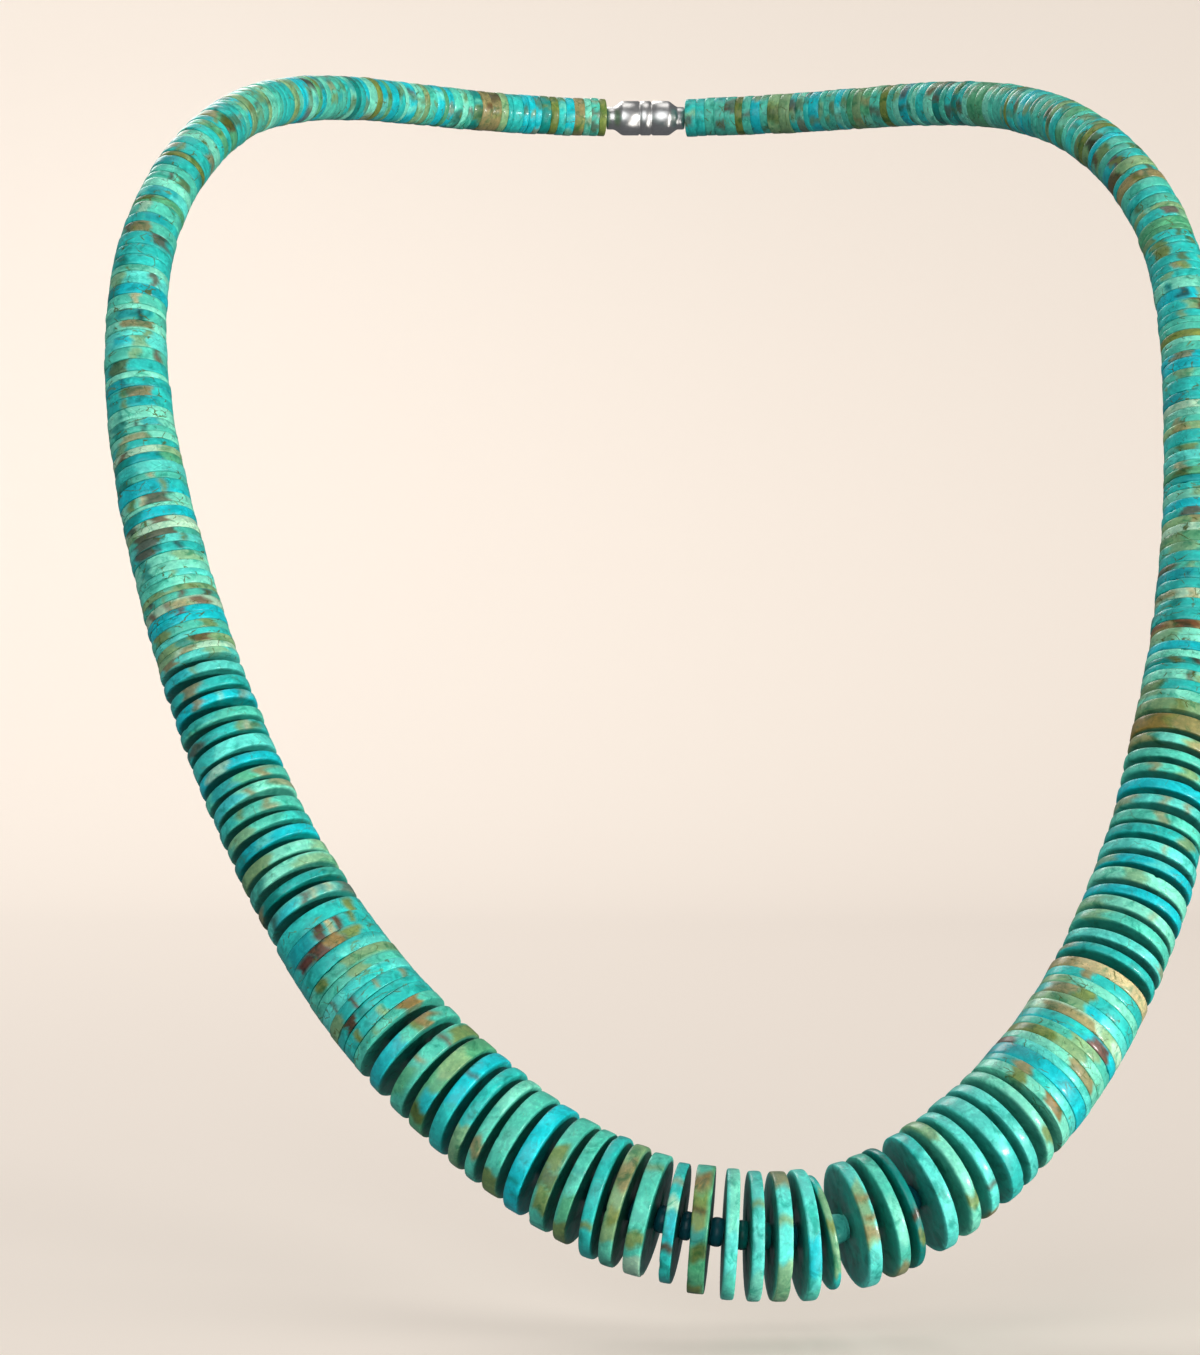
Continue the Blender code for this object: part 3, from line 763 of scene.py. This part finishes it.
def center_layout():
    """Way of each centre disc's middle, positive to the wearer's right, and the group's ends."""
    ways = []
    edge = 0.0
    for thickness, _, gap, _, _ in CENTER_DISCS:
        width = thickness * CENTER_THICKNESS
        ways.append(edge + width / 2.0)
        edge += width + gap * CENTER_GAP
    middle = ways[MIDDLE_DISC]
    first_end = middle + GAP_BEFORE_FIRST * CENTER_GAP
    return [middle - way for way in ways], first_end, edge - middle


# Layers of noise in the stone: its scale per millimetre, detail, roughness and distortion, then
# the range of it that counts, and what that range becomes
Layer = namedtuple("Layer", "scale detail roughness distortion low high out_low out_high")
LAYERS = {
    "clouds": Layer(0.32, 3.0, 0.60, 0.6, 0.46, 0.66, 0.0, 1.0),
    "shadows": Layer(0.45, 4.0, 0.60, 0.8, 0.50, 0.70, 0.0, 1.0),
    "streaks": Layer(1.60, 3.0, 0.60, 0.0, 0.44, 0.66, 0.0, 1.0),
    "earth": Layer(0.26, 5.0, 0.62, 1.2, 0.64, 0.70, 0.0, 0.8),
    "vein_breaks": Layer(0.50, 3.0, 0.55, 0.0, 0.50, 0.60, 0.0, 1.0),
    "crackle_breaks": Layer(0.35, 2.0, 0.55, 0.0, 0.48, 0.58, 0.0, 1.0),
    "specks": Layer(3.20, 2.0, 0.55, 0.0, 0.70, 0.76, 0.0, 0.5),
    "gloss": Layer(0.80, 4.0, 0.55, 0.0, 0.35, 0.70, 0.36, 0.55),
}

# Noise that is used whole: scale, detail, roughness and distortion
PIT_NOISE = (2.5, 5.0, 0.6, 0.0)
WANDER_NOISE = (0.7, 3.0, 0.5, 0.0)

# Nets of fine lines: the scale of their cells, how far from its middle a line is full and where
# it ends, as shares of a cell, and its strength
Net = namedtuple("Net", "scale full none strength")
VEINS = Net(0.36, 0.008, 0.035, 1.0)
CRACKLE = Net(0.85, 0.010, 0.030, 0.8)

# Tints that the layers multiply the stone's tone by, in linear colour
CLOUD_TINT = (1.30, 1.30, 1.28)
SHADOW_TINT = (0.30, 0.62, 0.58)
STREAK_TINT = (1.35, 1.20, 1.18)
CRACKLE_TINT = (0.30, 0.42, 0.36)

# The stone's polish, the strength and depth in metres of its pits, and the share that veins sink
STONE_SHADER = {
    "IOR": 1.6,
    "Specular IOR Level": 0.24,
    "Coat Weight": 0.16,
    "Coat Roughness": 0.12,
}
PIT_STRENGTH = 0.15
PIT_DEPTH = 0.00012
VEIN_DEPTH = -0.6

# Thread and clasp: scale of their noise per metre, its two tones, and roughness
THREAD_SCALE = 2500.0
THREAD_ROUGHNESS = 0.8
THREAD_DARK = (0.010, 0.008, 0.007, 1.0)
THREAD_LIGHT = (0.060, 0.045, 0.035, 1.0)
SCRATCH_SCALE = 2200.0
SCRATCH_DETAIL = 5.0
SILVER_DARK = (0.55, 0.54, 0.52, 1.0)
SILVER_LIGHT = (0.80, 0.79, 0.77, 1.0)
SILVER_ROUGHNESS = (0.30, 0.44)


def new_material(name):
    """A material with nodes, and its shader."""
    material = bpy.data.materials.new(name)
    material.use_nodes = True
    return material, material.node_tree.nodes["Principled BSDF"]


def socket(node, name):
    """The socket of this name that the node's settings leave in use."""
    return next(s for s in node.inputs if s.name == name and s.enabled)


def stone_material(name):
    """Polished turquoise: cloudy tone, dark matrix veins, brown spots and fine pits."""
    material, shader = new_material(name)
    nodes, links = material.node_tree.nodes, material.node_tree.links
    for key, value in STONE_SHADER.items():
        shader.inputs[key].default_value = value

    def add(kind, **values):
        node = nodes.new(kind)
        for key, value in values.items():
            setattr(node, key, value)
        return node

    def noise(scale, detail, roughness, distortion):
        node = add("ShaderNodeTexNoise")
        links.new(grain, node.inputs["Vector"])
        node.inputs["Scale"].default_value = scale
        node.inputs["Detail"].default_value = detail
        node.inputs["Roughness"].default_value = roughness
        node.inputs["Distortion"].default_value = distortion
        return node

    def ramp(value, low, high, out_low, out_high):
        node = add("ShaderNodeMapRange", interpolation_type="SMOOTHSTEP")
        links.new(value, node.inputs["Value"])
        node.inputs["From Min"].default_value = low
        node.inputs["From Max"].default_value = high
        node.inputs["To Min"].default_value = out_low
        node.inputs["To Max"].default_value = out_high
        return node.outputs["Result"]

    def layer(key):
        row = LAYERS[key]
        return ramp(noise(*row[:4]).outputs["Fac"], *row[4:])

    def math_node(operation, first, second):
        node = add("ShaderNodeMath", operation=operation)
        links.new(first, node.inputs[0])
        if isinstance(second, float):
            node.inputs[1].default_value = second
        else:
            links.new(second, node.inputs[1])
        return node.outputs[0]

    def mix(share, base, tint, blend="MIX"):
        node = add("ShaderNodeMix", data_type="RGBA", blend_type=blend)
        links.new(share, socket(node, "Factor"))
        links.new(base, socket(node, "A"))
        socket(node, "B").default_value = (*tint, 1.0)
        return next(s for s in node.outputs if s.enabled)

    def net(kind, breaks):
        cells = add("ShaderNodeTexVoronoi", feature="DISTANCE_TO_EDGE")
        links.new(warped.outputs[0], cells.inputs["Vector"])
        cells.inputs["Scale"].default_value = kind.scale
        line = ramp(cells.outputs["Distance"], kind.full, kind.none, kind.strength, 0.0)
        return math_node("MULTIPLY", math_node("MULTIPLY", line, layer(breaks)), veins)

    tone = add("ShaderNodeAttribute", attribute_name="tone").outputs["Color"]
    grain = add("ShaderNodeAttribute", attribute_name="grain").outputs["Vector"]
    veins = add("ShaderNodeAttribute", attribute_name="veins").outputs["Fac"]
    warped = add("ShaderNodeVectorMath", operation="ADD")
    links.new(grain, warped.inputs[0])
    links.new(noise(*WANDER_NOISE).outputs["Color"], warped.inputs[1])

    lighter = mix(layer("clouds"), tone, CLOUD_TINT, "MULTIPLY")
    darker = mix(layer("shadows"), lighter, SHADOW_TINT, "MULTIPLY")
    streaked = mix(layer("streaks"), darker, STREAK_TINT, "MULTIPLY")
    earthy = mix(math_node("MULTIPLY", layer("earth"), veins), streaked, linear("olive"))
    vein = net(VEINS, "vein_breaks")
    veined = mix(vein, earthy, linear("moss"))
    crackled = mix(net(CRACKLE, "crackle_breaks"), veined, CRACKLE_TINT, "MULTIPLY")
    colour = mix(layer("specks"), crackled, linear("brown"))
    links.new(colour, shader.inputs["Base Color"])
    links.new(layer("gloss"), shader.inputs["Roughness"])

    sunk = math_node("MULTIPLY", vein, VEIN_DEPTH)
    pits = math_node("ADD", noise(*PIT_NOISE).outputs["Fac"], sunk)
    bump = add("ShaderNodeBump")
    bump.inputs["Strength"].default_value = PIT_STRENGTH
    bump.inputs["Distance"].default_value = PIT_DEPTH
    links.new(pits, bump.inputs["Height"])
    links.new(bump.outputs["Normal"], shader.inputs["Normal"])
    return material


def fine_noise(material, shader, scale, dark, light):
    """Fine noise over the object that also tints the material between two tones."""
    nodes, links = material.node_tree.nodes, material.node_tree.links
    place = nodes.new("ShaderNodeTexCoord")
    noise = nodes.new("ShaderNodeTexNoise")
    links.new(place.outputs["Object"], noise.inputs["Vector"])
    noise.inputs["Scale"].default_value = scale
    tint = nodes.new("ShaderNodeValToRGB")
    tint.color_ramp.elements[0].color = dark
    tint.color_ramp.elements[1].color = light
    links.new(noise.outputs["Fac"], tint.inputs["Fac"])
    links.new(tint.outputs["Color"], shader.inputs["Base Color"])
    return noise


def thread_material():
    """Dark twisted cord."""
    material, shader = new_material("thread")
    shader.inputs["Roughness"].default_value = THREAD_ROUGHNESS
    fine_noise(material, shader, THREAD_SCALE, THREAD_DARK, THREAD_LIGHT)
    return material


def silver_material():
    """Silver with fine scratches that also change its gloss."""
    material, shader = new_material("clasp_silver")
    nodes, links = material.node_tree.nodes, material.node_tree.links
    shader.inputs["Metallic"].default_value = 1.0
    scratches = fine_noise(material, shader, SCRATCH_SCALE, SILVER_DARK, SILVER_LIGHT)
    scratches.inputs["Detail"].default_value = SCRATCH_DETAIL
    gloss = nodes.new("ShaderNodeMapRange")
    links.new(scratches.outputs["Fac"], gloss.inputs["Value"])
    gloss.inputs["To Min"].default_value = SILVER_ROUGHNESS[0]
    gloss.inputs["To Max"].default_value = SILVER_ROUGHNESS[1]
    links.new(gloss.outputs["Result"], shader.inputs["Roughness"])
    return material


def finish_piece(obj, material, slot, *nodes):
    """Dresses a piece, hangs it on the root and hides the parts that it stands for."""
    obj.data.materials.append(material)
    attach(obj, "root")
    if nodes:
        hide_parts(*nodes)


def make_center_discs(layout, material):
    """The centre discs, each its own piece."""
    for index, way in enumerate(layout):
        thickness, diameter, _, lean, turn = CENTER_DISCS[index]
        side = 1 if way >= 0.0 else -1
        rng = random.Random(CENTER_SEED + index)
        stones = StoneMesh()
        radius = diameter * disc_diameter(abs(way), side) / 2.0
        add_disc(stones, abs(way), side, radius, thickness * CENTER_THICKNESS,
                 CENTER_LOOKS[index], rng, CENTER_STYLE, lean, turn)
        obj = stones.build(f"disc_{index + 1:02d}")
        finish_piece(obj, material, "disc_stone", f"center_disc_{index + 1:02d}")


def make_packed(name, rows, start, stop, side, rng, style, radii):
    """A packed run between two ways, its rows of thickness and looks stretched to fit."""
    stones = StoneMesh()
    stretch = (stop - start) / sum(thickness for thickness, _, _ in rows)
    way = start
    for thickness, ground, patches in rows:
        width = thickness * stretch
        radius = disc_diameter(way, side) / 2.0 * rng.uniform(*radii)
        add_disc(stones, way + width / 2.0, side, radius, width * PACKED_SHARE,
                 (ground, patches), rng, style)
        way += width
    return stones.build(name)


def make_side(start, side, material):
    """The three runs of discs of one side, each its own piece. Returns where they end."""
    label, short_count, long_count, short_looks, spaced_looks, long_looks = SIDES[side]
    string = f"string_{label}"
    rng = random.Random(SIDE_SEED + side)
    short_end = start + short_count * SHORT_RUN_THICKNESS
    short = make_packed(f"short_run_{label}", short_looks, start, short_end, side, rng,
                        SHORT_STYLE, SHORT_RADII)
    finish_piece(short, material, "disc_stone", string)
    spaced = StoneMesh()
    way = short_end + CLEARANCE + SIDE_GAP + SIDE_THICKNESS / 2.0
    for thickness, ground, patches in spaced_looks:
        radius = disc_diameter(way, side) / 2.0 * rng.uniform(*SPACED_RADII)
        lean, turn = (rng.uniform(-SPACED_LEAN, SPACED_LEAN) for _ in range(2))
        add_disc(spaced, way, side, radius, thickness * MM, (ground, patches), rng,
                 SPACED_STYLE, lean, turn)
        way += SIDE_THICKNESS + SIDE_GAP
    finish_piece(spaced.build(f"spaced_run_{label}"), material, "disc_stone", string)
    long_start = short_end + CLEARANCE + SIDE_COUNT * (SIDE_THICKNESS + SIDE_GAP) + SIDE_GAP
    long_end = long_start + long_count * LONG_RUN_THICKNESS
    charted = sum(thickness for thickness, _, _ in long_looks) * MM
    rows = [*long_looks, *random_run(long_end - long_start - charted, rng)]
    long = make_packed(f"long_run_{label}", rows, long_start, long_end, side, rng,
                       LONG_STYLE, LONG_RADII)
    finish_piece(long, material, "disc_stone", string)
    return long_end


def make_back(start, side, material):
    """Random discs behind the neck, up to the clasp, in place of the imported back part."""
    label = SIDES[side].label
    rng = random.Random(BACK_SEED + side)
    stop = ROUTE_CURVE.side_length(side) - CLASP_LENGTH / 2.0 - CLEARANCE
    rows = random_run(stop - start, rng)
    back = make_packed(f"back_run_{label}", rows, start, stop, side, rng, BACK_STYLE, LONG_RADII)
    finish_piece(back, material, "disc_stone", f"back_{label}")


def make_spacers(layout, right_end, left_end, material):
    """Small dark beads between the spaced discs, and one bright one."""
    stones = StoneMesh()
    rng = random.Random(SPACER_SEED)
    halves = [thickness * CENTER_THICKNESS / 2.0 for thickness, *_ in CENTER_DISCS]
    gaps = [(right_end, layout[0] + halves[0])]
    for i in range(len(layout) - 1):
        gaps.append((layout[i] - halves[i], layout[i + 1] + halves[i + 1]))
    gaps.append((layout[-1] - halves[-1], -left_end))
    for index, (high, low) in enumerate(gaps):
        middle = (high + low) / 2.0
        side = 1 if middle >= 0.0 else -1
        tone = BRIGHT_SPACER_TONE if index == BRIGHT_SPACER else rng.choice(SPACER_TONES)
        radius = SPACER_DIAMETER / 2.0 * rng.uniform(*SPACER_RADII)
        add_disc(stones, abs(middle), side, radius, (high - low) * SPACER_SHARE, (tone, ()), rng,
                 SPACER_STYLE)
    finish_piece(stones.build("spacer_beads"), material, "spacer_stone", "center_thread")


# The visible thread: its share of the thread's diameter, and its detail
THREAD_SHARE = 0.8
THREAD_POINTS = 400
THREAD_BEVEL = 3


def make_thread(name, material):
    """The thread through the whole loop."""
    curve = bpy.data.curves.new(name, "CURVE")
    curve.dimensions = "3D"
    curve.bevel_depth = THREAD_DIAMETER / 2.0 * THREAD_SHARE
    curve.bevel_resolution = THREAD_BEVEL
    curve.use_fill_caps = True
    spline = curve.splines.new("POLY")
    margin = CLASP_LENGTH / 2.0
    left_end = margin - ROUTE_CURVE.side_length(-1)
    right_end = ROUTE_CURVE.side_length(1) - margin
    spline.points.add(THREAD_POINTS - 1)
    for point, way in zip(spline.points, np.linspace(left_end, right_end, THREAD_POINTS)):
        point.co = (*ROUTE_CURVE.at(way), 1.0)
    finish_piece(add_object(name, curve), material, "spacer_stone")


# The clasp's outline: points of its rounded end as parts of the edge and of the end's radius,
# points of a groove as parts of its half width and depth, and sizes in metres
END_EDGE = 0.0002
END_POINTS = ((0.0, 0.80), (0.25, 0.93), (1.0, 1.0))
GROOVE_POINTS = ((1.0, 0.0), (0.75, 0.4), (0.0, 1.0), (-0.75, 0.4), (-1.0, 0.0))
GROOVE_PLACE = 0.0009
GROOVE_HALF_WIDTH = 0.0002
GROOVE_DEPTH = 0.0002
SHOULDER_STEPS = 10
CLASP_SIDES = 64
MERGE_DISTANCE = 0.00001


def make_clasp():
    """Plain silver barrel with two fine grooves round its middle and rounded shoulders."""
    half, end, body = CLASP_LENGTH / 2.0, CLASP_END_DIAMETER / 2.0, CLASP_DIAMETER / 2.0
    shoulder = half - CLASP_NECK_LENGTH
    outline = [(half - END_EDGE * back, end * share) for back, share in END_POINTS]
    for i in range(SHOULDER_STEPS + 1):
        share = i / SHOULDER_STEPS
        rise = share * share * (3.0 - 2.0 * share)
        outline.append((shoulder + end * (0.5 - share), end + (body - end) * rise))
    for aside, depth in GROOVE_POINTS:
        outline.append((GROOVE_PLACE + GROOVE_HALF_WIDTH * aside, body - GROOVE_DEPTH * depth))
    outline.append((0.0, body))
    outline += [(-x, r) for x, r in reversed(outline[:-1])]
    points = [(half, 0.0, 0.0), *((x, 0.0, r) for x, r in outline), (-half, 0.0, 0.0)]
    mesh = bpy.data.meshes.new("clasp_barrel")
    mesh.from_pydata(points, [(i, i + 1) for i in range(len(points) - 1)], [])
    obj = add_object("clasp_barrel", mesh)
    turn = obj.modifiers.new("turn", "SCREW")
    turn.axis = "X"
    turn.steps = CLASP_SIDES
    turn.render_steps = CLASP_SIDES
    turn.use_merge_vertices = True
    turn.merge_threshold = MERGE_DISTANCE
    turn.use_normal_calculate = True
    finish_piece(obj, silver_material(), "clasp_metal", "clasp")


# Camera, at the photo's place: its frame is 1200 by 1355 pixels
PHOTO_HEIGHT = 1355.0
FOCAL_PIXELS = 2900.0
SENSOR_HEIGHT = 24.0
CAMERA_PLACE = (-0.007, -0.446, -0.086)
CAMERA_NEAR = 0.01


def make_camera():
    """Looks level from the front."""
    data = bpy.data.cameras.new("photo_camera")
    data.sensor_fit = "VERTICAL"
    data.sensor_height = SENSOR_HEIGHT
    data.lens = SENSOR_HEIGHT * FOCAL_PIXELS / PHOTO_HEIGHT
    data.clip_start = CAMERA_NEAR
    camera = add_object("photo_camera", data)
    camera.location = CAMERA_PLACE
    camera.rotation_euler = (math.radians(90.0), 0.0, 0.0)
    bpy.context.scene.camera = camera


# Backdrop: floor, cove and wall
FLOOR_LEVEL = -0.1575
FLOOR_HALF_WIDTH = 2.0
FLOOR_FRONT = -2.2
WALL_PLACE = 0.75
WALL_HEIGHT = 1.6
COVE_RADIUS = 0.35
COVE_STEPS = 24
PAPER = (0.62, 0.555, 0.49, 1.0)
PAPER_GLOW = (0.86, 0.75, 0.65, 1.0)
PAPER_GLOW_STRENGTH = 0.42
PAPER_ROUGHNESS = 0.9


def make_backdrop():
    """Pale floor that curves up into a wall behind the necklace."""
    outline = [(FLOOR_FRONT, FLOOR_LEVEL)]
    for i in range(COVE_STEPS + 1):
        a = math.radians(90.0 * i / COVE_STEPS)
        outline.append((WALL_PLACE - COVE_RADIUS + COVE_RADIUS * math.sin(a),
                        FLOOR_LEVEL + COVE_RADIUS - COVE_RADIUS * math.cos(a)))
    outline.append((WALL_PLACE, WALL_HEIGHT))
    points, faces = [], []
    for y, z in outline:
        points += [(-FLOOR_HALF_WIDTH, y, z), (FLOOR_HALF_WIDTH, y, z)]
    for i in range(len(outline) - 1):
        faces.append((2 * i, 2 * i + 1, 2 * i + 3, 2 * i + 2))
    mesh = bpy.data.meshes.new("backdrop")
    mesh.from_pydata(points, [], faces)
    mesh.shade_smooth()
    obj = add_object("backdrop", mesh)
    material, shader = new_material("backdrop_paper")
    shader.inputs["Base Color"].default_value = PAPER
    shader.inputs["Emission Color"].default_value = PAPER_GLOW
    shader.inputs["Emission Strength"].default_value = PAPER_GLOW_STRENGTH
    shader.inputs["Roughness"].default_value = PAPER_ROUGHNESS
    mesh.materials.append(material)
    obj.visible_diffuse = False
    obj.visible_glossy = False


# Round lights: place and aim in metres, diameter in metres, power in watts
NECKLACE_MIDDLE = (0.0, -0.12, -0.11)
WALL_FOOT = (0.0, 0.55, -0.15)
Light = namedtuple("Light", "place aim size power colour")
LIGHTS = {
    "key": Light((0.85, -0.73, -0.15), NECKLACE_MIDDLE, 0.24, 19.0, (1.0, 0.98, 0.95)),
    "fill": Light((-0.30, -0.98, 0.10), NECKLACE_MIDDLE, 1.0, 6.0, (0.95, 0.98, 1.0)),
    "bounce": Light((0.50, -0.60, -0.60), NECKLACE_MIDDLE, 0.6, 4.0, (1.0, 0.96, 0.92)),
    "wall_wash": Light((0.0, 0.05, 1.0), WALL_FOOT, 0.8, 2.6, (1.0, 0.98, 0.96)),
    "back": Light((-0.3, 0.6, 0.5), NECKLACE_MIDDLE, 0.5, 3.5, (1.0, 0.98, 0.96)),
}
STUDIO_COLOUR = (0.9, 0.93, 1.0, 1.0)
STUDIO_STRENGTH = 0.15


def make_lights():
    """The round lights, and a weak even light from all round."""
    for name, row in LIGHTS.items():
        data = bpy.data.lights.new(name, "AREA")
        data.shape = "DISK"
        data.size = row.size
        data.energy = row.power
        data.color = row.colour
        light = add_object(name, data)
        light.location = row.place
        sight = Vector(row.aim) - Vector(row.place)
        light.rotation_euler = sight.to_track_quat("-Z", "Y").to_euler()
    world = bpy.data.worlds.new("studio")
    world.use_nodes = True
    background = world.node_tree.nodes["Background"]
    background.inputs["Color"].default_value = STUDIO_COLOUR
    background.inputs["Strength"].default_value = STUDIO_STRENGTH
    bpy.context.scene.world = world


def main():
    """The stage, then the discs from the middle out, the thread and the clasp."""
    bpy.context.scene.view_settings.view_transform = "Standard"
    make_camera()
    make_backdrop()
    make_lights()
    stone = stone_material("turquoise_stone")
    layout, right_end, left_end = center_layout()
    make_center_discs(layout, stone)
    make_spacers(layout, right_end, left_end, stone)
    right_stop = make_side(right_end, 1, stone)
    left_stop = make_side(left_end, -1, stone)
    make_back(right_stop, 1, stone)
    make_back(left_stop, -1, stone)
    make_thread("thread", thread_material())
    make_clasp()


main()
